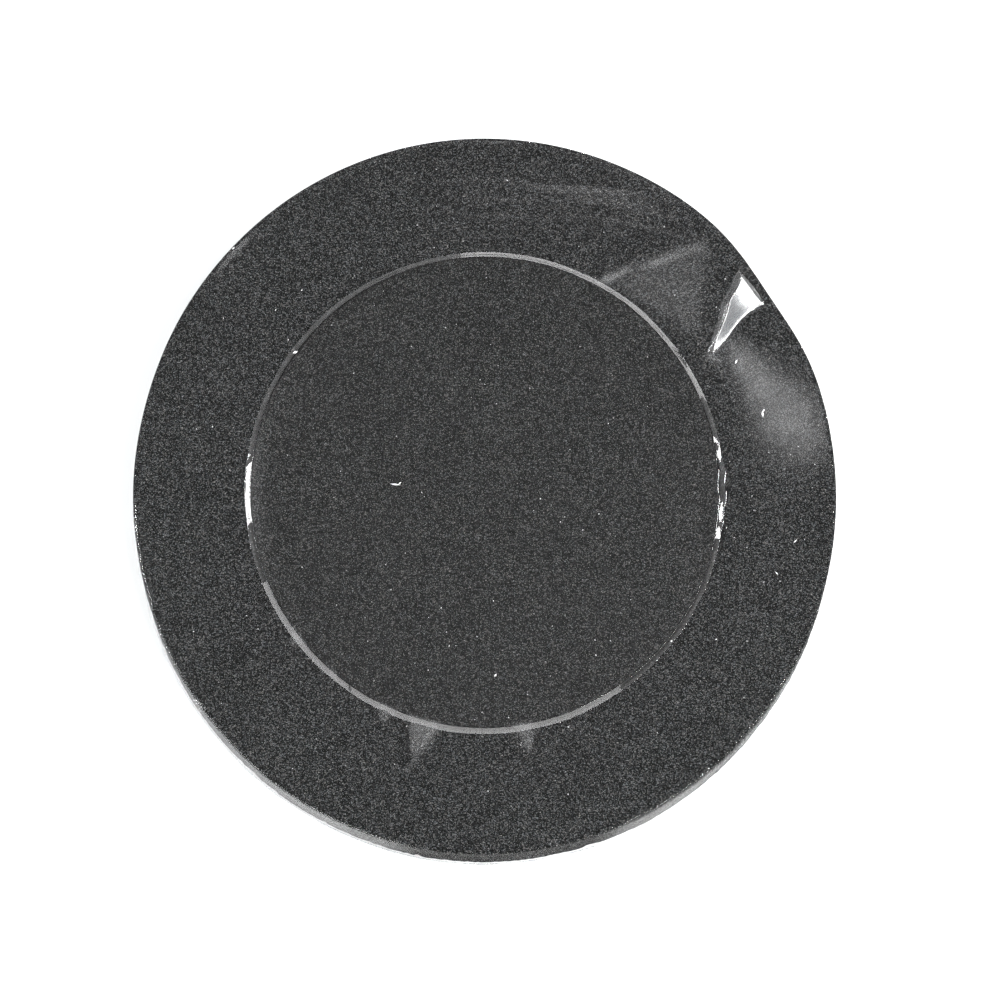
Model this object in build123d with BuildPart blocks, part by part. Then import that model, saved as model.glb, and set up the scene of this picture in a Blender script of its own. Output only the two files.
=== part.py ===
from build123d import *

import os
from math import cos, radians, sin, tan

os.makedirs("parts", exist_ok=True)

# A round stone slab with a raised centre disc, sealed in clear film, as it is sold.
# Millimetres, +Z up. The origin is the centre of the lowest face, where the part rests.
# From the bench up: base film, slab, bond bed in the slab's pocket, centre disc,
# then the top film over all of it, and the weld bead where the two films meet.

# --- Driving dimensions ---
slab_radius = 152.4  # 12 in across
slab_thickness = 19.05  # 3/4 in
slab_arris = 1.2  # rounding of the slab's top edge
slab_foot_chamfer = 0.8  # the slab's lower edge, rubbed off

disc_radius = 101.6  # 8 in across
disc_thickness = 4.5
disc_arris = 0.6  # rounding of the disc's top edge

pocket_depth = 3.0  # shallow recess in the slab that holds the disc
pocket_clearance = 0.8  # open joint from the disc to the pocket's wall
bed_thickness = 0.5  # bond between the disc and the pocket's floor
bed_inset = 4.0  # the bond stops this far inside the disc's edge

film_thickness = 0.15  # heavy shrink film
film_gap = 0.05  # air left between the stone and the film
tent_slope = 45.0  # degrees below level, where the film spans from the disc's edge to the slab
weld_radius = 0.8  # half-round bead of melted film

# --- Levels and radii that follow from them ---
slab_bottom = film_thickness
ring_top = slab_bottom + slab_thickness
pocket_floor = ring_top - pocket_depth
disc_bottom = pocket_floor + bed_thickness
disc_top = disc_bottom + disc_thickness
pocket_radius = disc_radius + pocket_clearance
bed_radius = disc_radius - bed_inset
film_radius = slab_radius + film_gap + film_thickness
disc_flat = disc_radius - disc_arris  # where the disc's level face ends
slab_flat = slab_radius - slab_arris  # where the slab's level face ends


def film_side(gap):
    """Draw one side of the top film, at the given gap off the stone, from the axis to its foot.

    The film lies on the disc, bends over its edge, falls straight to the slab at tent_slope,
    lies on the slab, and turns down the slab's wall.
    """
    Line((0, disc_top + gap), (disc_flat, disc_top + gap))
    edge = CenterArc((disc_flat, disc_top - disc_arris), disc_arris + gap, 90, -tent_slope)
    up_from_level = radians(90 - tent_slope)
    leaves_at = disc_flat + (disc_arris + gap) * cos(up_from_level)
    drop = disc_top - disc_arris + (disc_arris + gap) * sin(up_from_level) - ring_top - gap
    lands_at = leaves_at + drop / tan(radians(tent_slope))
    Line(edge @ 1, (lands_at, ring_top + gap))
    Line((lands_at, ring_top + gap), (slab_flat, ring_top + gap))
    rim = CenterArc((slab_flat, ring_top - slab_arris), slab_arris + gap, 90, -90)
    Line(rim @ 1, (slab_radius + gap, slab_bottom))


# --- Base film: the flat sheet under the slab, which the part rests on ---
with BuildPart() as film_base:
    with BuildSketch(Plane.XY):
        Circle(film_radius)
    extrude(amount=film_thickness)
film_base.part.label = "film_base"
export_step(film_base.part, "parts/film_base.step")

# --- Base slab: a turned disc of stone with a shallow round pocket in its top ---
with BuildPart() as base_slab:
    with BuildSketch(Plane.XY.offset(slab_bottom)):
        Circle(slab_radius)
    extrude(amount=slab_thickness)
    fillet(base_slab.faces().sort_by(Axis.Z)[-1].edges(), radius=slab_arris)
    chamfer(base_slab.faces().sort_by(Axis.Z)[0].edges(), length=slab_foot_chamfer)
    with BuildSketch(Plane.XY.offset(ring_top)):
        Circle(pocket_radius)
    extrude(amount=-pocket_depth, mode=Mode.SUBTRACT)
base_slab.part.label = "base_slab"
export_step(base_slab.part, "parts/base_slab.step")

# --- Bond bed: the thin layer of adhesive that holds the disc to the pocket's floor ---
with BuildPart() as bond_bed:
    with BuildSketch(Plane.XY.offset(pocket_floor)):
        Circle(bed_radius)
    extrude(amount=bed_thickness)
bond_bed.part.label = "bond_bed"
export_step(bond_bed.part, "parts/bond_bed.step")

# --- Centre disc: the working surface, which stands proud of the slab round it ---
with BuildPart() as centre_disc:
    with BuildSketch(Plane.XY.offset(disc_bottom)):
        Circle(disc_radius)
    extrude(amount=disc_thickness)
    fillet(centre_disc.faces().sort_by(Axis.Z)[-1].edges(), radius=disc_arris)
centre_disc.part.label = "centre_disc"
export_step(centre_disc.part, "parts/centre_disc.step")

# --- Top film: one stretched skin over the disc, the slab and its wall ---
with BuildPart() as film_top:
    with BuildSketch(Plane.XZ):
        with BuildLine():
            film_side(film_gap)
            film_side(film_gap + film_thickness)
            Line((0, disc_top + film_gap), (0, disc_top + film_gap + film_thickness))
            Line((slab_radius + film_gap, slab_bottom), (film_radius, slab_bottom))
        make_face()
    revolve(axis=Axis.Z)
film_top.part.label = "film_top"
export_step(film_top.part, "parts/film_top.step")

# --- Weld bead: the melted seam round the foot of the wall, on the bench ---
with BuildPart() as weld_bead:
    with BuildSketch(Plane.XZ):
        with BuildLine():
            half_round = CenterArc((film_radius, weld_radius), weld_radius, -90, 180)
            Line(half_round @ 1, half_round @ 0)
        make_face()
    revolve(axis=Axis.Z)
weld_bead.part.label = "weld_bead"
export_step(weld_bead.part, "parts/weld_bead.step")
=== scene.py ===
# %% [markdown]
# # A round granite slab sealed in shrink film
#
# The real object is a 12 inch disc of dark, fine-grained stone with a raised 8 inch disc let into
# its top. Clear film is shrunk over both, so what the eye meets first is the film: it mirrors the
# lamps in thin bright lines wherever it bends, and it is milky wherever it has come off the stone.
#
# The CAD model holds the true sizes. This script loads it, reads its measures, and makes each
# visible piece again with the small faults that a sawn stone and a stretched film really have.

# %% Load the frame
import math

import bpy
import numpy as np
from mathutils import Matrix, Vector


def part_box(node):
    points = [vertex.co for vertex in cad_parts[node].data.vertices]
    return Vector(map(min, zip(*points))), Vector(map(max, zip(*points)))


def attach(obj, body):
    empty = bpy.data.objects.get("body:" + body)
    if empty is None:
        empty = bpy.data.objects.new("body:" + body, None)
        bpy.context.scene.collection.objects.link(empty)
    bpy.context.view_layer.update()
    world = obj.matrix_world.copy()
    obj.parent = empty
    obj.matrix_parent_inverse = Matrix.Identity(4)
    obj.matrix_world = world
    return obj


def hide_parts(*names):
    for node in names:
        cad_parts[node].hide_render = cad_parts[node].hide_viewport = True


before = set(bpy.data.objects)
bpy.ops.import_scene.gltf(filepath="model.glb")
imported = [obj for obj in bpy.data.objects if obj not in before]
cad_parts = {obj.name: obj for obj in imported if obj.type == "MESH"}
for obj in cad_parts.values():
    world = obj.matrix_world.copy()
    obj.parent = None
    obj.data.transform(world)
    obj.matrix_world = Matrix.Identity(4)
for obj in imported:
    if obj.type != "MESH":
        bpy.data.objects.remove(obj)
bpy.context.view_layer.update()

# %% [markdown]
# ## Measures
#
# Blender works in metres, but a stone is easier to think about in millimetres, so the shapes below
# are worked out in millimetres and scaled once, as each mesh is made. Reading the levels and radii
# from the CAD nodes, and not typing them, keeps every piece where the CAD model has it.

# %% Levels and radii, read from the CAD nodes
MM = 0.001


def corners_mm(node):
    """Lowest and highest corner of a CAD node, in millimetres."""
    low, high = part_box(node)
    return np.array(low) / MM, np.array(high) / MM


slab_low, slab_high = corners_mm("base_slab")
disc_low, disc_high = corners_mm("centre_disc")
bond_low, bond_high = corners_mm("bond_bed")
skin_low, skin_high = corners_mm("film_top")
bead_low, bead_high = corners_mm("weld_bead")

SLAB_RADIUS = slab_high[0]
SLAB_BOTTOM = slab_low[2]
RING_TOP = slab_high[2]
POCKET_FLOOR = bond_low[2]
DISC_RADIUS = disc_high[0]
DISC_BOTTOM = disc_low[2]
DISC_TOP = disc_high[2]
FILM_THICKNESS = SLAB_BOTTOM
FILM_GAP = skin_high[0] - SLAB_RADIUS - FILM_THICKNESS
BEAD_RADIUS = (bead_high[2] - bead_low[2]) / 2
print("slab", SLAB_RADIUS, "ring top", RING_TOP, "disc", DISC_RADIUS, DISC_TOP, "film", FILM_THICKNESS)

# %% [markdown]
# ## Small tools
#
# Everything here is turned about one axis, so each piece is a grid: rows run from the middle of the
# top outward, down the wall and in again underneath, and columns run round the axis. A shape is then
# two arrays, one of radii and one of heights, and numpy works them out all at once.

# %% Smooth steps and soft corners
def smooth_step(value, start, end):
    """0 before start, 1 after end, and the S-curve 3t^2 - 2t^3 between them."""
    t = np.clip((value - start) / (end - start), 0.0, 1.0)
    return t * t * (3.0 - 2.0 * t)


def hump(value, middle, half_width):
    """1 at the middle, falling as the bell curve exp(-(d / half_width)^2) on both sides."""
    return np.exp(-(((value - middle) / half_width) ** 2))


def soft_low(a, b, blend):
    """The smaller of two heights, with the corner between them rounded by a hyperbola."""
    return 0.5 * (a + b - np.sqrt((a - b) ** 2 + blend**2))


def soft_high(a, b, blend):
    """The larger of two heights, with the corner between them rounded by a hyperbola."""
    return 0.5 * (a + b + np.sqrt((a - b) ** 2 + blend**2))


def turn_from(theta, middle):
    """Signed angle from middle to theta, wrapped into half a turn each way."""
    return (theta - middle + np.pi) % (2 * np.pi) - np.pi


# %% Seeded waviness
def waves(theta, lowest, highest, size, seed):
    """Sum of size * cos(k * theta + phase) / sqrt(count), for whole k from lowest to highest."""
    rng = np.random.default_rng(seed)
    orders = np.arange(lowest, highest + 1)
    phase = rng.uniform(0, 2 * np.pi, len(orders))
    weight = rng.normal(0, size / math.sqrt(len(orders)), len(orders))
    return (np.cos(np.multiply.outer(theta, orders) + phase) * weight).sum(axis=-1)


def blotches(x, y, cell, seed):
    """Random values on a square grid of the given cell, blended by smooth steps: from -1 to 1."""
    table = np.random.default_rng(seed).uniform(-1, 1, (256, 256))
    u, v = np.broadcast_arrays(x / cell + 128.0, y / cell + 128.0)
    i, j = np.floor(u).astype(int), np.floor(v).astype(int)
    s, t = smooth_step(u - i, 0, 1), smooth_step(v - j, 0, 1)
    near = table[i % 256, j % 256] * (1 - s) + table[(i + 1) % 256, j % 256] * s
    far = table[i % 256, (j + 1) % 256] * (1 - s) + table[(i + 1) % 256, (j + 1) % 256] * s
    return near * (1 - t) + far * t


# %% Make a turned mesh
def turned_faces(rows, columns, loop):
    """Four-sided faces between neighbouring rows, closed round the axis, facing outward.

    In a loop the last row joins the first one too, as in a ring.
    """
    row, column = np.meshgrid(np.arange(rows if loop else rows - 1), np.arange(columns), indexing="ij")
    here, beside = row * columns + column, row * columns + (column + 1) % columns
    under = (row + 1) % rows * columns
    return np.stack([here, under + column, under + (column + 1) % columns, beside], axis=-1).reshape(-1, 4)


def turned_piece(name, theta, radius, height, material, ends=2, **marks):
    """Mesh with a corner at (radius, theta, height) for each row and column, all in millimetres.

    ends is how many of the first and last row are closed at the axis by a fan of triangles: 2 in a
    solid, 1 in a sheet that is open at its hem, and 0 in a ring, whose rows join in a loop.
    marks are arrays of the same shape, kept as attributes that the material can read.
    """
    rows, columns = radius.shape
    grid = np.stack([radius * np.cos(theta), radius * np.sin(theta), height], axis=-1).reshape(-1, 3)
    ring = np.arange(columns)
    after, last = (ring + 1) % columns, (rows - 1) * columns
    tops = np.array([[0, 0, height[0].mean()], [0, 0, height[-1].mean()]])[:ends]
    fans = [
        np.stack([np.full(columns, rows * columns), ring, after], axis=-1).tolist(),
        np.stack([np.full(columns, rows * columns + 1), last + after, last + ring], axis=-1).tolist(),
    ]
    faces = turned_faces(rows, columns, ends == 0).tolist() + sum(fans[:ends], [])
    mesh = bpy.data.meshes.new(name)
    mesh.from_pydata((np.concatenate([grid, tops]) * MM).tolist(), [], faces)
    mesh.shade_smooth()
    for mark, values in marks.items():
        filled = np.concatenate([values.ravel(), np.full(ends, values[0].mean())])
        mesh.attributes.new(mark, "FLOAT", "POINT").data.foreach_set("value", filled)
    piece = bpy.data.objects.new(name, mesh)
    bpy.context.scene.collection.objects.link(piece)
    piece.data.materials.append(material)
    print(name, "corners", len(mesh.vertices), "faces", len(mesh.polygons))
    return piece


# %% [markdown]
# ## Floor, lamps and camera
#
# Film is a mirror with a weak reflection, so the lamps shape the picture as much as the piece does.
# Small bright boxes left, right and front right give the white glints; the left and right ones are each
# seen in a larger and dimmer diffuser, which gives their grey surrounds. Wide low panels on the near and
# far side are what the film's slopes mirror in grey. The sky straight above is left dark, so that the
# level film stays clear and the stone shows through it.

# %% Floor
def floor_material():
    """Matt, nearly white, with a faint unevenness so that it isn't a flat colour."""
    material = bpy.data.materials.new("pale_floor")
    material.use_nodes = True
    nodes, links = material.node_tree.nodes, material.node_tree.links
    surface = nodes["Principled BSDF"]
    surface.inputs["Roughness"].default_value = 0.9
    surface.inputs["Specular IOR Level"].default_value = 0.2
    place = nodes.new("ShaderNodeTexCoord")
    cloud = nodes.new("ShaderNodeTexNoise")
    cloud.inputs["Scale"].default_value = 6.0
    tint = nodes.new("ShaderNodeMix")
    tint.data_type = "RGBA"
    tint.inputs["A"].default_value = (0.91, 0.91, 0.90, 1)
    tint.inputs["B"].default_value = (0.94, 0.94, 0.935, 1)
    links.new(place.outputs["Object"], cloud.inputs["Vector"])
    links.new(cloud.outputs["Fac"], tint.inputs["Factor"])
    links.new(tint.outputs["Result"], surface.inputs["Base Color"])
    return material


FLOOR_REACH = 12.0  # metres each way
floor_mesh = bpy.data.meshes.new("floor")
floor_corners = [(x * FLOOR_REACH, y * FLOOR_REACH, 0.0) for x, y in ((-1, -1), (1, -1), (1, 1), (-1, 1))]
floor_mesh.from_pydata(floor_corners, [], [(0, 1, 2, 3)])
floor = bpy.data.objects.new("floor", floor_mesh)
bpy.context.scene.collection.objects.link(floor)
floor_mesh.materials.append(floor_material())
floor.location.z = -0.0002


# %% Lamps
def direction(azimuth, elevation):
    """Unit vector: azimuth in degrees from +X towards +Y, elevation in degrees above level."""
    a, e = math.radians(azimuth), math.radians(elevation)
    return Vector((math.cos(e) * math.cos(a), math.cos(e) * math.sin(a), math.sin(e)))


def soft_box(name, azimuth, elevation, distance, width, height, radiance, colour=(1, 1, 1)):
    """Rectangular lamp that faces the slab. Its power is radiance times pi times its area."""
    lamp = bpy.data.lights.new(name, "AREA")
    lamp.shape = "RECTANGLE"
    lamp.size, lamp.size_y = width, height
    lamp.energy = radiance * math.pi * width * height
    lamp.color = colour
    box = bpy.data.objects.new(name, lamp)
    aim = direction(azimuth, elevation)
    box.location = aim * distance
    box.rotation_euler = aim.to_track_quat("Z", "Y").to_euler()
    box.visible_camera = False
    bpy.context.scene.collection.objects.link(box)
    return box


LAMP_DISTANCE = 1.7
BRIGHT, DIM, LOW, GREY = 24.0, 2.6, 14.0, 2.4  # radiance of each kind of lamp
COOL = (0.90, 0.95, 1.0)
soft_box("box_right", 20, 56, LAMP_DISTANCE, 0.35, 0.35, BRIGHT)
soft_box("box_left", 162, 56, LAMP_DISTANCE, 0.42, 0.42, BRIGHT)
soft_box("box_front_right", -28, 62, LAMP_DISTANCE, 1.0, 0.4, BRIGHT)
soft_box("low_left", 167, 9, LAMP_DISTANCE, 0.45, 0.28, LOW)
soft_box("low_right", 13, 9, LAMP_DISTANCE, 0.65, 0.28, LOW)
soft_box("diffuser_right", -8, 50, LAMP_DISTANCE + 0.1, 1.2, 1.1, DIM, COOL)
soft_box("diffuser_left", 172, 52, LAMP_DISTANCE + 0.1, 1.3, 1.1, DIM, COOL)
soft_box("panel_near", -90, 15, LAMP_DISTANCE, 3.0, 0.8, GREY)
soft_box("panel_left", -152, 15, LAMP_DISTANCE, 1.1, 0.7, GREY)
soft_box("panel_far", 65, 13, LAMP_DISTANCE, 2.0, 0.75, GREY)


# %% Sky
def sky(low_light, top_light):
    """Grey surroundings that fade from low_light at the horizon to top_light straight above."""
    world = bpy.data.worlds.new("studio")
    world.use_nodes = True
    nodes, links = world.node_tree.nodes, world.node_tree.links
    way = nodes.new("ShaderNodeTexCoord")
    split = nodes.new("ShaderNodeSeparateXYZ")
    fade = nodes.new("ShaderNodeMapRange")
    fade.interpolation_type = "SMOOTHSTEP"
    fade.inputs["From Min"].default_value = 0.35
    fade.inputs["From Max"].default_value = 0.95
    fade.inputs["To Min"].default_value = low_light
    fade.inputs["To Max"].default_value = top_light
    links.new(way.outputs["Generated"], split.inputs["Vector"])
    links.new(split.outputs["Z"], fade.inputs["Value"])
    links.new(fade.outputs["Result"], nodes["Background"].inputs["Color"])
    bpy.context.scene.world = world


sky(low_light=0.6, top_light=0.03)
bpy.context.scene.view_settings.view_transform = "Standard"

# %% Camera
CAMERA_ELEVATION = 76.5
CAMERA_DISTANCE = 3.0
VIEW_WIDTH = 0.4198  # metres across the picture at the slab
aim_at = Vector((0.0064, -0.0036, RING_TOP * MM))
camera = bpy.data.objects.new("camera", bpy.data.cameras.new("camera"))
bpy.context.scene.collection.objects.link(camera)
back = direction(-90, CAMERA_ELEVATION)
camera.location = aim_at + back * CAMERA_DISTANCE
camera.rotation_euler = back.to_track_quat("Z", "Y").to_euler()
camera.data.lens = camera.data.sensor_width * CAMERA_DISTANCE / VIEW_WIDTH
camera.data.clip_end = 40.0
bpy.context.scene.camera = camera
print("camera lens in millimetres:", round(camera.data.lens, 1))

# %% [markdown]
# ## Stone
#
# The stone is even and fine: grains of about half a millimetre in near-black and greys, with a rare
# pale one. Cells of a Voronoi pattern are a good match, because each cell can have one flat grey, as a
# mineral grain does. One node group makes the grain for both stones, and each stone gives it its own
# size and greys. The sawn wall is paler than the honed top, so the slab's mesh carries a mark for it.
# The same mark also holds painted shade: it is pushed below zero at the wall's foot by the film's
# loose loop, which darkens the stone there in place of the shadow under the loop.

# %% Grain, as a group of nodes
def add_group(name, numbers, outputs):
    """Empty shader group with float inputs given as {name: value} and outputs as {name: kind}."""
    group = bpy.data.node_groups.new(name, "ShaderNodeTree")
    for label, value in numbers.items():
        socket = group.interface.new_socket(label, in_out="INPUT", socket_type="NodeSocketFloat")
        socket.default_value = value
    for label, kind in outputs.items():
        group.interface.new_socket(label, in_out="OUTPUT", socket_type="NodeSocket" + kind)
    inside = group.nodes.new("NodeGroupInput")
    outside = group.nodes.new("NodeGroupOutput")
    return group, inside, outside


def ramp(nodes, stops):
    """Colour ramp node with grey stops given as (place, grey)."""
    node = nodes.new("ShaderNodeValToRGB")
    bar = node.color_ramp
    for place, grey in stops[1:-1]:
        bar.elements.new(place)
    for element, (place, grey) in zip(bar.elements, stops):
        element.position = place
        element.color = (grey, grey, grey, 1)
    return node


def calculate(nodes, links, operation, a, b):
    """Math node; a and b are sockets or numbers."""
    node = nodes.new("ShaderNodeMath")
    node.operation = operation
    for socket, value in zip(node.inputs, (a, b)):
        if isinstance(value, (int, float)):
            socket.default_value = value
        else:
            links.new(value, socket)
    return node.outputs[0]


def grain_group():
    """Grain: each small cell has one grey, brightest at its heart, and slow clouds vary them all.

    Color = ramp(random grey of the cell) x (1 at its heart, GRAIN_GAP between grains) x clouds.
    """
    group, inside, outside = add_group(
        "stone_grain",
        {"Grain": 1000.0, "Brightness": 1.0, "Warmth": 0.0},
        {"Color": "Color", "Relief": "Float"},
    )
    nodes, links = group.nodes, group.links
    place = nodes.new("ShaderNodeTexCoord").outputs["Object"]
    cells = nodes.new("ShaderNodeTexVoronoi")
    links.new(place, cells.inputs["Vector"])
    links.new(inside.outputs["Grain"], cells.inputs["Scale"])
    parts = nodes.new("ShaderNodeSeparateColor")
    links.new(cells.outputs["Color"], parts.inputs["Color"])
    greys = ramp(nodes, GRAIN_GREYS)
    links.new(parts.outputs["Red"], greys.inputs["Fac"])
    heart = nodes.new("ShaderNodeMapRange")
    heart.inputs["From Min"].default_value = HEART
    heart.inputs["From Max"].default_value = RIM
    heart.inputs["To Min"].default_value = 1.0
    heart.inputs["To Max"].default_value = GRAIN_GAP
    links.new(cells.outputs["Distance"], heart.inputs["Value"])

    cloud = nodes.new("ShaderNodeTexNoise")
    cloud.inputs["Scale"].default_value = CLOUD_SCALE
    cloud.inputs["Detail"].default_value = 3.0
    links.new(place, cloud.inputs["Vector"])
    slow = calculate(nodes, links, "MULTIPLY_ADD", cloud.outputs["Fac"], 0.4)
    slow.node.inputs[2].default_value = 0.8
    level = calculate(nodes, links, "MULTIPLY", heart.outputs["Result"], slow)
    level = calculate(nodes, links, "MULTIPLY", level, inside.outputs["Brightness"])

    warm = calculate(nodes, links, "SUBTRACT", parts.outputs["Green"], 0.5)
    warm = calculate(nodes, links, "MULTIPLY", warm, 0.12)
    warm = calculate(nodes, links, "ADD", warm, inside.outputs["Warmth"])
    tint = nodes.new("ShaderNodeCombineColor")
    links.new(calculate(nodes, links, "ADD", 1.0, warm), tint.inputs["Red"])
    tint.inputs["Green"].default_value = 1.0
    links.new(calculate(nodes, links, "SUBTRACT", 1.0, warm), tint.inputs["Blue"])
    scaled = nodes.new("ShaderNodeVectorMath")
    scaled.operation = "SCALE"
    links.new(greys.outputs["Color"], scaled.inputs[0])
    links.new(level, scaled.inputs["Scale"])
    tinted = nodes.new("ShaderNodeVectorMath")
    tinted.operation = "MULTIPLY"
    links.new(scaled.outputs[0], tinted.inputs[0])
    links.new(tint.outputs["Color"], tinted.inputs[1])
    links.new(tinted.outputs[0], outside.inputs["Color"])
    links.new(parts.outputs["Blue"], outside.inputs["Relief"])
    return group


GRAIN_GREYS = [(0.0, 0.004), (0.3, 0.018), (0.55, 0.04), (0.85, 0.085), (0.99, 0.125), (1.0, 0.22)]
GRAIN_GAP = 0.1  # brightness between the grains, against 1 at a grain's heart
HEART, RIM = 0.15, 0.65  # share of a cell's size at which a grain starts to darken, and is darkest
CLOUD_SCALE = 38.0
GRAIN = grain_group()


# %% Stone materials
GRAINS_PER_METRE = 1900.0
STONE_SHINE = 0.08  # the film takes the stone's own shine away
RELIEF_STRENGTH, RELIEF_DEPTH = 0.25, 0.00005  # the depth is in metres


def stone_material(name, grain, brightness, warmth, roughness, sawn_brightness):
    """Stone: the grain group in a matt surface, paler where the mesh is marked as sawn; painted shade where
    the mark is below zero.
    """
    material = bpy.data.materials.new(name)
    material.use_nodes = True
    nodes, links = material.node_tree.nodes, material.node_tree.links
    surface = nodes["Principled BSDF"]
    surface.inputs["Specular IOR Level"].default_value = STONE_SHINE
    speckle = nodes.new("ShaderNodeGroup")
    speckle.node_tree = GRAIN
    speckle.inputs["Grain"].default_value = grain
    speckle.inputs["Warmth"].default_value = warmth
    sawn = nodes.new("ShaderNodeAttribute")
    sawn.attribute_name = "sawn"
    # The sawn mark also carries painted shade: below zero it makes the stone darker than the honed top.
    paler = calculate(nodes, links, "MULTIPLY_ADD", sawn.outputs["Fac"], sawn_brightness - brightness)
    paler.node.inputs[2].default_value = brightness
    links.new(paler, speckle.inputs["Brightness"])
    surface.inputs["Roughness"].default_value = roughness
    links.new(speckle.outputs["Color"], surface.inputs["Base Color"])
    bump = nodes.new("ShaderNodeBump")
    bump.inputs["Strength"].default_value = RELIEF_STRENGTH
    bump.inputs["Distance"].default_value = RELIEF_DEPTH
    links.new(speckle.outputs["Relief"], bump.inputs["Height"])
    links.new(bump.outputs["Normal"], surface.inputs["Normal"])
    return material


slab_stone = stone_material(
    "slab_stone", GRAINS_PER_METRE, brightness=1.18, warmth=0.0, roughness=0.9, sawn_brightness=2.2
)
disc_stone = stone_material(
    "disc_stone", GRAINS_PER_METRE, brightness=0.9, warmth=0.01, roughness=0.45, sawn_brightness=1.4
)

# %% [markdown]
# ## The slab
#
# The CAD slab is a true circle. This outline is a 4.7 % oval, a few millimetres inside the nominal size.
# Both were fitted so that the outline looks right from this camera, and neither was measured on a
# stone: the real slab may well be round, with a camera that stands differently. To go back to the
# CAD's circle, set both ovals and both insets to 0. The outline also has a flat place at the right
# rear, a rough wall and small chips off its lower edge. It is one function of the angle, because the
# film has to follow the same edge.

# %% Outline of the stone
SLAB_OVAL, DISC_OVAL = 0.0235, 0.0165
FLAT_AT = math.radians(35)
FLAT_WIDTH = math.radians(10)
FLAT_DEPTH = 2.4
EDGE_INSET, DISC_INSET = 1.2, 1.7  # fitted, as the ovals are: how far inside the nominal radius
SLAB_ARRIS = 1.3
FOOT_CHAMFER = 0.8
FRONT, FRONT_WIDTH = math.radians(-86), math.radians(14)  # where the film is sucked on tight
LOOP, LOOP_WIDTH = math.radians(-42), math.radians(8)  # where the film stands off in a loose loop


def slab_edge(theta):
    """Radius of the slab: an oval, slow waves of a tenth of a millimetre, and a rubbed flat."""
    oval = 1.0 - SLAB_OVAL * np.cos(2 * theta)
    flat = FLAT_DEPTH * hump(turn_from(theta, FLAT_AT), 0, FLAT_WIDTH)
    return (SLAB_RADIUS - EDGE_INSET) * oval + waves(theta, 3, 14, 0.12, seed=3) - flat


def disc_edge(theta):
    """Radius of the raised disc: a rounder oval, and a little waviness."""
    middle = DISC_RADIUS - DISC_INSET
    return middle * (1.0 - DISC_OVAL * np.cos(2 * theta)) + waves(theta, 3, 20, 0.06, seed=4)


# %% Slab
SLAB_COLUMNS = 1400
POCKET_CLEARANCE = 0.8


def slab_grid(theta):
    """Rows of the slab: pocket floor, pocket wall, ring, rounded edge, sawn wall, chamfer, underside.

    The wall is pushed in by coarse and fine blotches, and its lower edge by rare deep chips: the
    part of a blotch pattern above a threshold.
    """
    edge = slab_edge(theta)
    pocket = disc_edge(theta) + POCKET_CLEARANCE
    ones = np.ones_like(theta)
    radius, height, sawn = [], [], []

    def row(r, z, mark=0.0):
        radius.append(r * ones)
        height.append(z * ones)
        sawn.append(mark * ones)

    for share in (0.3, 0.8):
        row(pocket * share, POCKET_FLOOR)
    row(pocket - 0.01, POCKET_FLOOR)
    row(pocket, POCKET_FLOOR + 0.01, 0.5)
    row(pocket, RING_TOP - 0.25, 0.5)
    row(pocket + 0.2, RING_TOP)
    for share in (0.02, 0.25, 0.5, 0.75, 0.95):
        row(pocket + (edge - SLAB_ARRIS - pocket) * share, RING_TOP)
    for turn in np.radians(np.linspace(90, 0, 7)):
        r = edge - SLAB_ARRIS + SLAB_ARRIS * np.cos(turn)
        row(r, RING_TOP - SLAB_ARRIS + SLAB_ARRIS * np.sin(turn), 1 - np.sin(turn))
    arc = theta * SLAB_RADIUS
    wall_top, wall_foot = RING_TOP - SLAB_ARRIS, SLAB_BOTTOM + FOOT_CHAMFER
    for z in np.linspace(wall_top, wall_foot, 26)[1:]:
        rough = 0.12 * blotches(arc, z * ones, 2.6, 11) + 0.16 * blotches(arc, z * ones, 1.4, 12)
        saw_line = 0.04 * np.sin(2 * np.pi * z / 3.1 + 0.8 * np.sin(theta * 5))
        nearness = smooth_step(z * ones, SLAB_BOTTOM + 5.0, SLAB_BOTTOM)
        chips = 1.2 * nearness * np.clip(blotches(arc, z * ones, 3.4, 13) - 0.45, 0, 1)
        mottle = 0.55 + 1.0 * blotches(arc, z * ones / 4, 1.1, 15)
        # Painted shade: by the loose loop the sawn mark is pushed down at the wall's foot, so the stone is
        # darker there in place of the shadow under the loop.
        foot_shade = smooth_step(z * ones, SLAB_BOTTOM + 6.5, SLAB_BOTTOM + 4.5)
        mottle -= 1.3 * foot_shade * hump(turn_from(theta, LOOP), 0, LOOP_WIDTH)
        row(edge - 0.2 + rough + saw_line - chips, z, np.clip(mottle, -0.75, 1.6))
    ragged = 0.7 * np.clip(blotches(arc, 0 * ones, 2.1, 14), 0, 1)
    row(edge - FOOT_CHAMFER - ragged, SLAB_BOTTOM, 1.0)
    for share in (0.9, 0.5, 0.1):
        row(edge * share, SLAB_BOTTOM, 0.6)
    return np.array(radius), np.array(height), np.array(sawn)


slab_theta = np.linspace(0, 2 * np.pi, SLAB_COLUMNS, endpoint=False)
slab_radius, slab_height, slab_sawn_and_foot_shade = slab_grid(slab_theta)
slab = turned_piece("slab", slab_theta, slab_radius, slab_height, slab_stone, sawn=slab_sawn_and_foot_shade)
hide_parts("base_slab")
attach(slab, "root")

# %% [markdown]
# ## The raised disc

# %% Disc
DISC_ARRIS = 0.7


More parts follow.
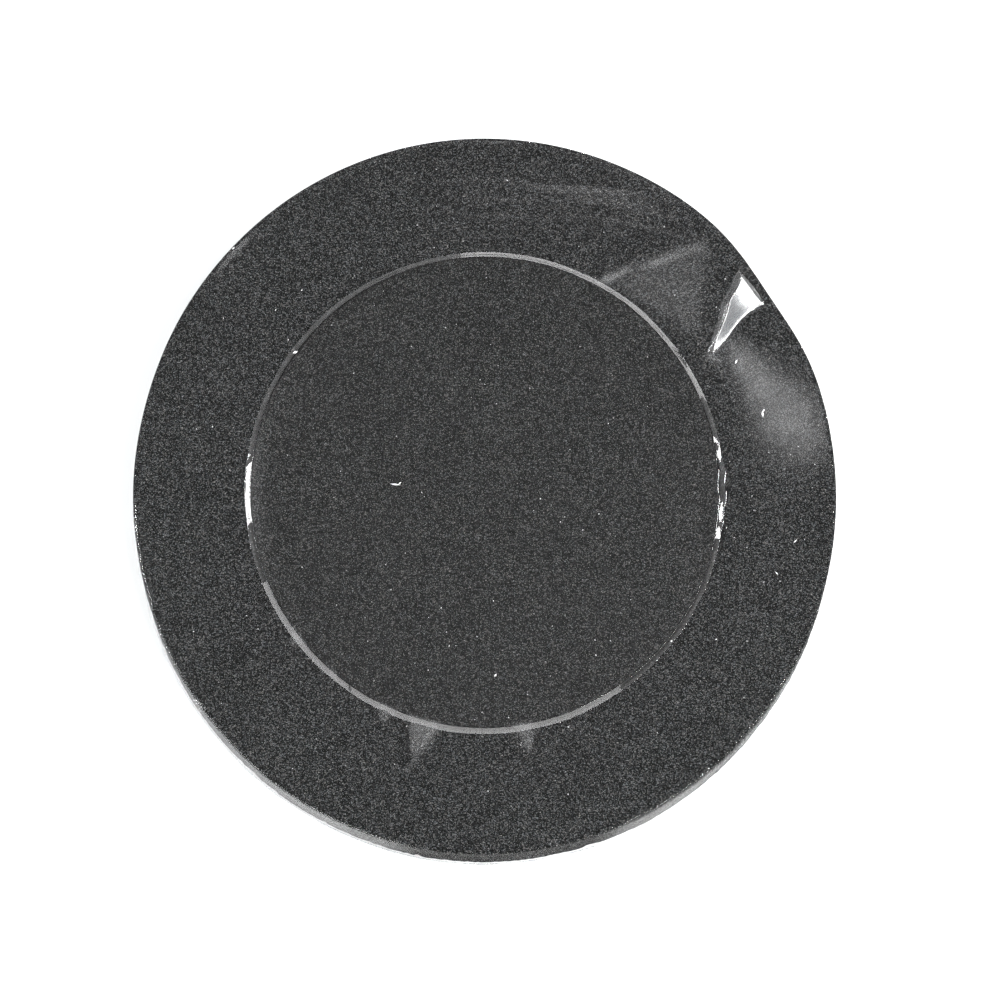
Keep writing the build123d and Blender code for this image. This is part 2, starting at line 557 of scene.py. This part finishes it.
def disc_grid(theta):
    """Rows of the disc: level top, rounded edge with tiny nicks, straight wall, underside."""
    edge = disc_edge(theta)
    ones = np.ones_like(theta)
    nicks = 0.35 * np.clip(blotches(theta * DISC_RADIUS, 0 * ones, 1.7, 21) - 0.5, 0, 1)
    radius = [edge * 0.3, edge * 0.8, edge - DISC_ARRIS - 1.0]
    height = [DISC_TOP * ones] * 3
    for turn in np.radians(np.linspace(90, 0, 6)):
        radius.append(edge - DISC_ARRIS + DISC_ARRIS * np.cos(turn) - nicks * np.cos(turn))
        height.append((DISC_TOP - DISC_ARRIS + DISC_ARRIS * np.sin(turn)) * ones)
    radius += [edge - 0.05, edge - 0.05, edge * 0.8, edge * 0.3]
    height += [(DISC_BOTTOM + 1.0) * ones, DISC_BOTTOM * ones, DISC_BOTTOM * ones, DISC_BOTTOM * ones]
    return np.array(radius), np.array(height)


DISC_COLUMNS = 720
disc_theta = np.linspace(0, 2 * np.pi, DISC_COLUMNS, endpoint=False)
disc_radius, disc_height = disc_grid(disc_theta)
disc_sawn = smooth_step(disc_height, DISC_TOP - 0.1, DISC_TOP - 1.2)
disc = turned_piece("disc", disc_theta, disc_radius, disc_height, disc_stone, sawn=disc_sawn)
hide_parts("centre_disc")
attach(disc, "root")

# %% [markdown]
# ## The film's finish
#
# Clear film is glass a sixth of a millimetre thick, so it is a glass surface with a low roughness.
# Three marks on the film's mesh say where it differs. Haze is where it has come off the stone: a rough
# coat there spreads the lamps' light over the film and leaves the view through it sharp. Cling is where
# it is stuck so close to the sawn wall that it loses its own shine, so it fades out by its alpha.
# Slack is where it was crushed into a dart, which makes its mirror a little softer.
#
# The lamps' shadow rays pass the film by, or the stone beneath would be lit only by chance.

# %% Film materials
FILM_IOR = 1.5
HAZE_IOR = 1.9
HAZE_ROUGHNESS = 0.62
SLACK_ROUGHNESS = 0.17


def film_material(name, tint, roughness):
    """Clear plastic: glass, under a rough coat where the mesh is hazy, fading out where it clings."""
    material = bpy.data.materials.new(name)
    material.use_nodes = True
    nodes, links = material.node_tree.nodes, material.node_tree.links
    surface = nodes["Principled BSDF"]
    surface.inputs["Base Color"].default_value = tint
    slack = nodes.new("ShaderNodeAttribute")
    slack.attribute_name = "slack"
    softer = calculate(nodes, links, "MULTIPLY_ADD", slack.outputs["Fac"], SLACK_ROUGHNESS - roughness)
    softer.node.inputs[2].default_value = roughness
    links.new(softer, surface.inputs["Roughness"])
    surface.inputs["Transmission Weight"].default_value = 1.0
    surface.inputs["IOR"].default_value = FILM_IOR
    surface.inputs["Coat Roughness"].default_value = HAZE_ROUGHNESS
    surface.inputs["Coat IOR"].default_value = HAZE_IOR
    haze = nodes.new("ShaderNodeAttribute")
    haze.attribute_name = "haze"
    links.new(haze.outputs["Fac"], surface.inputs["Coat Weight"])
    cling = nodes.new("ShaderNodeAttribute")
    cling.attribute_name = "cling"
    links.new(calculate(nodes, links, "SUBTRACT", 1.0, cling.outputs["Fac"]), surface.inputs["Alpha"])
    return material


clear_film = film_material("clear_film", tint=(1.0, 1.0, 1.0, 1), roughness=0.03)
weld_plastic = film_material("weld_plastic", tint=(0.93, 0.95, 0.96, 1), roughness=0.2)


def let_lamps_through(piece):
    """The piece stays visible and mirrors the room, but doesn't stop the lamps' light."""
    piece.visible_shadow = False
    piece.visible_diffuse = False


# %% [markdown]
# ## The film's shape
#
# From the axis outward the film lies on the disc, bends over its edge, spans down to the ring, lies
# on the ring, and turns down the wall to the weld. On top of that come the faults of shrinking, each
# a height in millimetres added as a function of the place (x, y):
#
# - a dart at the right rear, a cone of slack film pinched to a point at the disc,
# - a bubble below it,
# - a three-cornered stretch that is pulled off the ring between the dart and the disc,
# - fine stretch lines across the far side,
# - small wedges where the span from the disc lands further out.

# %% Places of the film's faults, in millimetres from the axis
DART_TIP, DART_MOUTH = (94.6, 58.2), (112.6, 87.0)
DART_EDGE_TILT, DART_CORE_TILT = 17.0, 28.0  # degrees
DART_NECK, DART_FLARE = 0.72, 3.2  # half-width: times the root of the distance, and at the mouth
DART_DROP_TILT = 62.0  # degrees, on the far side of the ridge
DART_END = 143.2  # radius at which the dart folds down
BUBBLE_START, BUBBLE_END = (101.5, 64.0), (136.0, 20.0)
BUBBLE_HEIGHT = 0.7
PULLED_CORNERS = ((48.0, 91.5), (98.5, 111.0), (91.5, 63.5))
STEP_WEDGES = (  # place on the disc's edge in degrees, half-angle in degrees, reach in millimetres
    (-113.5, 3.2, 9.0),
    (-104.3, 4.6, 21.0),
    (-80.5, 3.0, 14.0),
    (-128.5, 1.6, 4.5),
    (-141.0, 3.4, 6.0),
)


# %% Shapes of the faults
def along_line(x, y, start, end):
    """Distance along the line from start to end, and distance off it, positive to its right."""
    (x0, y0), (x1, y1) = start, end
    length = math.hypot(x1 - x0, y1 - y0)
    ux, uy = (x1 - x0) / length, (y1 - y0) / length
    return (x - x0) * ux + (y - y0) * uy, (x - x0) * uy - (y - y0) * ux, length


def core_rise(across):
    """Running sum, from the facet's right edge, of a mark that is 1 in the facet's middle."""
    place = np.linspace(0, 1, 201)
    middle = smooth_step(place, 0.0, 0.2)
    return np.interp(across, place, np.cumsum(middle) / len(place))


def dart(x, y):
    """A cone cut open: one broad facet rises from its right edge to a ridge, and drops steeply beyond.

    The facet is a narrow neck, DART_NECK times the root of the distance from the tip, that flares at
    the mouth, and its middle line bows a little to the left. Its height at a share of its width is
    the sum of its slope up to there: tan of the edge tilt, and of the core tilt in the neck's middle.
    """
    along, right, length = along_line(x, y, DART_TIP, DART_MOUTH)
    far = np.clip(along, 0.01, None)
    half = DART_NECK * np.sqrt(far) + DART_FLARE * smooth_step(far, 15, 38)
    middle = -0.9 * smooth_step(far, 8, 24) + 1.6 * smooth_step(far, 23, 33)
    across = (half - right + middle) / (2 * half)
    in_neck = smooth_step(far, 2, 12) * smooth_step(far, 31, 21)
    gentle = math.tan(math.radians(DART_EDGE_TILT))
    steeper = math.tan(math.radians(DART_CORE_TILT)) - gentle
    ridge = 2 * half * (gentle + steeper * in_neck * core_rise(1.0))
    facet = 2 * half * (gentle * across + steeper * in_neck * core_rise(across))
    drop = ridge + (right - middle + half) * math.tan(math.radians(DART_DROP_TILT))
    height = soft_high(soft_low(facet, drop, 0.25) + 0.015 * blotches(x, y, 0.9, 37), 0, 0.35)
    folded = smooth_step(np.hypot(x, y), DART_END + 0.8, DART_END - 0.5)
    return height * smooth_step(along, -1.0, 2.0) * folded


def bubble(x, y):
    """A long low dome that fans out: a bell across, and a smooth rise and fall along."""
    along, right, length = along_line(x, y, BUBBLE_START, BUBBLE_END)
    share = along / length
    width = 5.0 + 8.0 * smooth_step(share, 0.0, 0.8)
    ends = smooth_step(share, -0.12, 0.15) * smooth_step(share, 1.3, 0.7)
    return hump(right, -1.0, width) * ends


def inside_corners(x, y, corners, soft):
    """1 inside a triangle of corners given clockwise, falling to 0 over soft millimetres at its sides."""
    inside = np.ones_like(x)
    for start, end in zip(corners, corners[1:] + corners[:1]):
        inside = inside * smooth_step(along_line(x, y, start, end)[1], 0.0, soft)
    return inside


def crease(x, y, start, end, half_width, bow=0.0):
    """A ridge along a line, bowed to its right by bow in the middle, that dies away at both ends."""
    along, right, length = along_line(x, y, start, end)
    share = along / length
    ends = smooth_step(share, 0.0, 0.3) * smooth_step(share, 1.0, 0.7)
    return hump(right - bow * 4 * share * (1 - share), 0, half_width) * ends


def step_wedges(theta, radius, edge):
    """How far the lifted wedges reach: each narrows from its width at the disc to a point."""
    lifted = np.zeros_like(radius)
    for middle, half_angle, reach in STEP_WEDGES:
        aside = np.abs(turn_from(theta, math.radians(middle))) / math.radians(half_angle)
        outward = (radius - edge) / reach
        lifted = np.maximum(lifted, smooth_step(1 - outward - aside, 0.0, 0.35) * (outward > 0))
    return lifted


# %% Film: height over the ring and disc
FILM_MIDDLE = FILM_GAP + FILM_THICKNESS / 2  # from the stone to the middle of the film
STEP_DROP = DISC_TOP - RING_TOP
SPAN_NEAR, SPAN_FAR = 2.1, 2.45  # how far out the film lands, on the near and the far side
SHARP_BEND, LOOSE_BEND = 0.04, 0.4  # roundness of the span's two bends: mostly, and where crumpled


def crumpled(theta):
    """1 at the right of the span and 0.25 at the left, where it is crumpled."""
    return hump(turn_from(theta, 0.02), 0, 0.17) + 0.25 * hump(turn_from(theta, 3.1), 0, 0.12)


def leaving(theta):
    """Radius at which the film leaves the disc."""
    return disc_edge(theta) + 0.2 + waves(theta, 30, 90, 0.3, seed=36) * crumpled(theta)


def landing(theta):
    """Radius at which the span from the disc meets the ring, further out where it is loose on the right."""
    reach = SPAN_NEAR + (SPAN_FAR - SPAN_NEAR) * (1 + np.sin(theta)) / 2
    jitter = waves(theta, 30, 90, 0.5, seed=31) * crumpled(theta) + waves(theta, 5, 30, 0.08, seed=32)
    return disc_edge(theta) + 0.2 + reach + jitter + 0.3 * hump(turn_from(theta, 0.02), 0, 0.17)


def span_bend(theta):
    """Roundness of the span's two bends, in millimetres."""
    return SHARP_BEND + (LOOSE_BEND - SHARP_BEND) * np.clip(crumpled(theta), 0, 1)


def film_top_height(theta, radius):
    """Height of the film over the disc and ring, its haze, and its slack, at each radius and angle."""
    x, y = radius * np.cos(theta), radius * np.sin(theta)
    edge = slab_edge(theta)
    share = (landing(theta) - radius) / (landing(theta) - leaving(theta))
    bend = span_bend(theta)
    step = soft_high(0, soft_low(STEP_DROP, STEP_DROP * share, bend), bend)
    on_ring = smooth_step(radius, disc_edge(theta) + 1.5, disc_edge(theta) + 4.0)
    near_edge = smooth_step(radius, edge - 0.6, edge - 4.5)
    slow_edge = smooth_step(radius, edge - 0.6, edge - 11.0)

    pulled = inside_corners(x, y, PULLED_CORNERS, 6.0)
    swell = bubble(x, y)
    wedges = step_wedges(theta, radius, disc_edge(theta))
    stretch = sum(
        size * crease(x, y, (x0, y0), (x1, y1), 0.7, bow)
        for x0, y0, x1, y1, bow, size in (
            (6.0, 133.0, 74.0, 128.5, -1.5, 0.16),
            (16.0, 131.0, 80.0, 124.0, -2.0, 0.10),
            (-18.0, 127.5, 40.0, 127.0, 0.0, 0.05),
            (28.0, 128.0, 88.0, 116.5, -2.5, 0.10),
            (-12.0, 120.0, 60.0, 119.0, 0.0, 0.05),
            (-30.0, 135.0, 10.0, 136.0, 0.0, 0.05),
            (40.0, 120.0, 92.0, 108.0, -2.0, 0.08),
        )
    )
    pulled_ridge = 0.35 * crease(x, y, (59.0, 96.0), (97.5, 110.0), 1.8, 1.0)
    pulled_ridge += 0.45 * crease(x, y, (46.5, 89.5), (63.0, 98.0), 1.5)
    pulled_ridge += 0.3 * crease(x, y, (92.5, 59.5), (100.0, 56.0), 1.3)
    rim_fold = 0.9 * crease(x, y, (117.0, 83.6), (122.5, 87.4), 1.3)
    lift = BUBBLE_HEIGHT * swell * slow_edge + 0.5 * pulled + 0.45 * wedges + stretch + pulled_ridge
    slack = 0.05 * blotches(x, y, 17.0, 33) + 0.02 * blotches(x, y, 6.0, 34)
    folds = dart(x, y)
    height = step + on_ring * near_edge * (lift + folds + 0.05 + slack + rim_fold)

    rim_line = 0.2 * hump(radius, edge - 3.6, 0.6) * hump(turn_from(theta, 1.48), 0, 0.28)
    height += rim_line
    rim_haze = 0.3 * smooth_step(radius, edge - 4.5, edge - 2.5) * hump(turn_from(theta, 2.36), 0, 0.07)
    inner_haze = 0.12 * hump(radius, DISC_RADIUS - 5.5, 2.2) * hump(turn_from(theta, np.pi), 0, 0.40)
    haze = 0.33 * swell + 0.09 * pulled + 0.23 * wedges + 0.9 * pulled_ridge + 1.3 * stretch
    rim_haze += 0.10 * hump(radius, edge - 1.45, 0.9) * hump(turn_from(theta, 1.25), 0, 0.5)
    haze = (haze + rim_haze + inner_haze) * (1 + 0.35 * blotches(x, y, 3.0, 35))
    return height, np.clip(haze, 0, 1), smooth_step(folds, 0.02, 0.3)


# %% Film: the grid
def crowded_angles(columns, crowd_at, half_width, crowding):
    """Angles round the circle, crowding times closer together within half_width of crowd_at."""
    even = np.linspace(0, 2 * np.pi, 4001)
    crowd = smooth_step(np.abs(turn_from(even, crowd_at)), half_width * 1.3, half_width)
    density = 1 + (crowding - 1) * crowd
    total = np.concatenate([[0], np.cumsum((density[1:] + density[:-1]) / 2)])
    return np.interp(np.arange(columns) / columns * total[-1], total, even)


FILM_ARRIS = SLAB_ARRIS + FILM_MIDDLE
FLARE = 0.15  # how far the film's foot stands off the wall


def skirt_slack(theta, share):
    """How far the film stands off the wall, from share 0 at the rim to 1 at the weld, in millimetres.

    It flares a little towards the weld, with upright pleats that grow the same way, and there is a
    loose loop at the right front and a dog-ear at the right rear.
    """
    flare = FLARE * share
    free = 1 - hump(turn_from(theta, FRONT), 0, FRONT_WIDTH)
    pleats = 0.8 * free * np.abs(waves(theta, 24, 90, 0.3, seed=41)) * share**1.5
    at_loop = hump(turn_from(theta, LOOP), 0, LOOP_WIDTH)
    loop = 0.5 * at_loop * np.sin(np.pi * np.clip(share, 0, 1) ** 0.6)
    ear = 1.0 * hump(turn_from(theta, math.radians(37.5)), 0, math.radians(1.8)) * np.sin(np.pi * share**0.6)
    belly = 0.2 * free * (1 + waves(theta, 2, 9, 1.0, seed=43)) * np.sin(np.pi * share)
    settled = smooth_step(share, 1.02, 0.9)
    return flare + (pleats + np.clip(belly, 0, None)) * settled * (1 - at_loop) + loop + ear


BEND_OFFSETS = (-1.5, -0.6, -0.15, 0.15, 0.6, 1.5)  # rows across a bend, times its roundness
EDGE_SHARES = [0.95, 0.97, 0.99, 1]
RING_SHARES = np.concatenate([np.linspace(0, 0.86, 29)[1:], np.linspace(0.86, 0.93, 8)[1:], EDGE_SHARES])
WALL_SHARES = (0.15, 0.3, 0.37, 0.42, 0.47, 0.6, 0.72, 0.76, 0.8, 0.9, 1.0)


def clinging(theta, share):
    """How much the film clings at a share of the way down the wall: most in front and at the back.

    In the loose loop it stands clear of the stone in two pale stripes, one above the other.
    """
    front = 0.5 * hump(turn_from(theta, FRONT), 0, FRONT_WIDTH)
    far_side = np.abs(turn_from(theta, math.radians(75)))
    behind = smooth_step(far_side, math.radians(109), math.radians(103))
    loop = hump(turn_from(theta, LOOP), 0, 1.3 * LOOP_WIDTH)
    stripes = 0.99 - 0.20 * hump(share, 0.18, 0.14) - 0.15 * hump(share, 0.42, 0.07)
    elsewhere = np.clip(0.8 + front + behind, 0, 0.99)
    return elsewhere + (stripes - elsewhere) * np.clip(1.5 * loop, 0, 1)


def film_grid(theta):
    """Rows of the film from the axis over the disc, the span, the ring, the rim and down the wall."""
    edge = slab_edge(theta)
    leave, foot = leaving(theta), landing(theta)
    radius, height, haze, slack, cling = [], [], [], [], []

    def top_row(r):
        z, hazy, slack_there = film_top_height(theta, r)
        radius.append(r)
        height.append(RING_TOP + FILM_MIDDLE + z)
        haze.append(hazy)
        slack.append(slack_there)
        cling.append(0 * theta)

    def side_row(r, z, hazy, clinging_there):
        radius.append(r)
        height.append(z)
        haze.append(hazy + 0 * theta)
        slack.append(0 * theta)
        cling.append(clinging_there)

    for share in (0.3, 0.7, 0.93, 0.96, 1.0):
        top_row((leave - 1.2) * share)
    bend = span_bend(theta)
    for offset in BEND_OFFSETS:
        top_row(leave + offset * bend)
    top_row((leave + foot) / 2)
    for offset in BEND_OFFSETS:
        top_row(foot + offset * bend)
    top_row(foot + 1.3)
    flat_end = edge - SLAB_ARRIS
    for share in RING_SHARES:
        top_row(foot + 1.3 + (flat_end - foot - 1.3) * share)
    last_height, last_haze = height[-1], haze[-1]
    cling[-1] = clinging(theta, 0.0)
    for turn in np.radians(np.linspace(90, 0, 7))[1:]:
        z = last_height - FILM_ARRIS * (1 - np.sin(turn))
        side_row(flat_end + FILM_ARRIS * np.cos(turn), z, last_haze, clinging(theta, 0.0))
    wall_top = last_height - FILM_ARRIS
    for share in WALL_SHARES:
        z = wall_top + (SLAB_BOTTOM + 0.01 - wall_top) * share
        side_row(edge + FILM_MIDDLE + skirt_slack(theta, share), z, 0.05, clinging(theta, share))
    return tuple(np.array(rows) for rows in (radius, height, haze, slack, cling))


FILM_COLUMNS = 640
DART_AT, DART_HALF_ANGLE, DART_CROWDING = math.radians(36.3), math.radians(6.5), 8.0
film_theta = crowded_angles(FILM_COLUMNS, DART_AT, DART_HALF_ANGLE, DART_CROWDING)
film_radius, film_height, film_haze, film_slack, film_cling = film_grid(film_theta)
film = turned_piece(
    "film",
    film_theta,
    film_radius,
    film_height,
    clear_film,
    ends=1,
    haze=film_haze,
    slack=film_slack,
    cling=film_cling,
)
thickness = film.modifiers.new("thickness", "SOLIDIFY")
thickness.thickness = FILM_THICKNESS * MM
thickness.offset = 0.0
let_lamps_through(film)
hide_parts("film_top")
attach(film, "root")

# %% [markdown]
# ## The base film and the weld

# %% Base film
def base_grid(theta):
    """Rows of the flat base film: its top from the axis to its edge, then its underside back."""
    edge = slab_edge(theta) + FILM_GAP + FILM_THICKNESS + FLARE
    shares = np.array([0.3, 0.7, 0.999, 1.0])
    radius = np.multiply.outer(np.concatenate([shares, shares[::-1]]), edge)
    level = np.concatenate([np.full(4, FILM_THICKNESS), np.zeros(4)])
    return radius, np.broadcast_to(level[:, None], radius.shape)


BASE_COLUMNS = 360
base_theta = np.linspace(0, 2 * np.pi, BASE_COLUMNS, endpoint=False)
base_radius, base_height = base_grid(base_theta)
base = turned_piece("base_film", base_theta, base_radius, base_height, clear_film)
let_lamps_through(base)
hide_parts("film_base")
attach(base, "root")


# %% Weld bead
def bead_grid(theta, around):
    """Half-round bead against the skirt's foot, its radius uneven, as melted film is."""
    size = BEAD_RADIUS * np.clip(0.55 + 0.35 * waves(theta, 10, 80, 1.0, seed=51), 0.25, 0.98)
    root = slab_edge(theta) + FILM_GAP + FILM_THICKNESS + FLARE
    radius = root + np.multiply.outer(np.cos(around), size)
    height = np.multiply.outer(1 + np.sin(around), size)
    return radius, height


BEAD_COLUMNS, BEAD_HAZE = 900, 0.2
bead_theta = np.linspace(0, 2 * np.pi, BEAD_COLUMNS, endpoint=False)
bead_around = np.linspace(np.pi / 2, -np.pi / 2, 9)
bead_radius, bead_height = bead_grid(bead_theta, bead_around)
bead_haze = BEAD_HAZE + 0 * bead_radius
bead = turned_piece("bead", bead_theta, bead_radius, bead_height, weld_plastic, ends=0, haze=bead_haze)
let_lamps_through(bead)
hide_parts("weld_bead")
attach(bead, "root")

# %% [markdown]
# ## Lint and grit
#
# Film picks up dust while it is shrunk. Each speck is an eight-sided grain, stretched and turned, and
# set on the film at its own height. A few large ones are placed one by one, and the rest are strewn
# from a seeded random source, so that they fall in the same places every time. A short fibre is a row
# of long grains along a curl.

# %% Specks
SPECKS = (  # x, y, length, width, turn in degrees
    (-79.9, 60.0, 2.4, 1.1, 20),
    (-37.5, 2.6, 4.6, 0.6, -6),
    (-35.6, 3.2, 1.6, 0.5, 35),
    (117.0, 33.4, 3.0, 1.0, 95),
    (117.4, 35.0, 1.4, 0.7, 60),
    (106.0, 56.2, 2.2, 0.7, 65),
    (4.5, -79.3, 1.5, 0.8, 55),
    (78.0, -64.4, 1.2, 0.9, 0),
    (130.2, -21.4, 2.2, 0.5, 45),
    (122.3, -35.2, 1.9, 0.5, -50),
    (-106.5, 106.0, 1.6, 0.7, 40),
)
STREWN = 130
FIBRE_AT = (-121.5, -91.0)
FIBRE_GRAINS = 14


def speck_table():
    """Rows of x, y, length, width and turn: the placed specks, the strewn ones and the fibre."""
    rng = np.random.default_rng(61)
    turn = rng.uniform(0, 2 * np.pi, STREWN)
    out = np.sqrt(rng.uniform(0.02, 0.93, STREWN)) * (SLAB_RADIUS - 4)
    length = 0.3 + 0.7 * rng.uniform(0, 1, STREWN) ** 3
    strewn = np.stack([out * np.cos(turn), out * np.sin(turn), length, 0.35 + 0 * turn, turn * 99], axis=-1)
    along = np.linspace(0, 1, FIBRE_GRAINS)
    curl = 3.0 * along**2 * np.pi
    fibre = np.stack(
        [
            FIBRE_AT[0] + 1.9 * np.sin(curl) + 3.2 * along,
            FIBRE_AT[1] + 1.6 * np.cos(curl) - 1.5 * along,
            0.9 + 0 * along,
            0.2 + 0 * along,
            -np.degrees(curl),
        ],
        axis=-1,
    )
    return np.concatenate([np.array(SPECKS), strewn, fibre])


def specks(name, table, material):
    """One mesh of grains: an octahedron's six corners, scaled, turned and set down for each row."""
    x, y, length, width, turn = (column[:, None] for column in table.T)
    corner = np.array([(1, 0, 0), (0, 1, 0), (-1, 0, 0), (0, -1, 0), (0, 0, 1), (0, 0, -1)]) / 2
    c, s = np.cos(np.radians(turn)), np.sin(np.radians(turn))
    u, v = corner[:, 0] * length, corner[:, 1] * width
    height, _, _ = film_top_height(np.arctan2(y, x), np.hypot(x, y))
    level = RING_TOP + FILM_MIDDLE + FILM_THICKNESS / 2 + height
    spots = np.stack([x + u * c - v * s, y + u * s + v * c, level + corner[:, 2] * SPECK_HEIGHT], axis=-1)
    side = np.array([0, 1, 2, 3])
    upper = np.stack([side, (side + 1) % 4, np.full(4, 4)], axis=-1)
    lower = np.stack([(side + 1) % 4, side, np.full(4, 5)], axis=-1)
    first = 6 * np.arange(len(table))[:, None, None]
    faces = (first + np.concatenate([upper, lower])).reshape(-1, 3)
    mesh = bpy.data.meshes.new(name)
    mesh.from_pydata((spots.reshape(-1, 3) * MM).tolist(), [], faces.tolist())
    piece = bpy.data.objects.new(name, mesh)
    bpy.context.scene.collection.objects.link(piece)
    piece.data.materials.append(material)
    print(name, "grains", len(table))
    return piece


def lint_material():
    """Off-white, matt, and a little uneven."""
    material = bpy.data.materials.new("lint")
    material.use_nodes = True
    nodes, links = material.node_tree.nodes, material.node_tree.links
    surface = nodes["Principled BSDF"]
    surface.inputs["Roughness"].default_value = 0.9
    place = nodes.new("ShaderNodeTexCoord")
    mottle = nodes.new("ShaderNodeTexNoise")
    mottle.inputs["Scale"].default_value = 300.0
    links.new(place.outputs["Object"], mottle.inputs["Vector"])
    greys = ramp(nodes, [(0.3, 0.45), (0.6, 0.9)])
    links.new(mottle.outputs["Fac"], greys.inputs["Fac"])
    links.new(greys.outputs["Color"], surface.inputs["Base Color"])
    return material


SPECK_HEIGHT = 0.3
dust = specks("dust", speck_table(), lint_material())
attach(dust, "root")

# %% [markdown]
# ## The bond
#
# The adhesive under the disc never shows, so its CAD node stays as it is and only gets a finish.

# %% Bond finish
def bond_material():
    """Grey, matt adhesive with a slow mottle."""
    material = bpy.data.materials.new("bond_adhesive")
    material.use_nodes = True
    nodes, links = material.node_tree.nodes, material.node_tree.links
    surface = nodes["Principled BSDF"]
    surface.inputs["Roughness"].default_value = 0.8
    place = nodes.new("ShaderNodeTexCoord")
    mottle = nodes.new("ShaderNodeTexNoise")
    mottle.inputs["Scale"].default_value = 120.0
    tint = nodes.new("ShaderNodeMix")
    tint.data_type = "RGBA"
    tint.inputs["A"].default_value = (0.42, 0.40, 0.35, 1)
    tint.inputs["B"].default_value = (0.55, 0.53, 0.47, 1)
    links.new(place.outputs["Object"], mottle.inputs["Vector"])
    links.new(mottle.outputs["Fac"], tint.inputs["Factor"])
    links.new(tint.outputs["Result"], surface.inputs["Base Color"])
    return material


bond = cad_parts["bond_bed"]
bond.data.materials.clear()
bond.data.materials.append(bond_material())
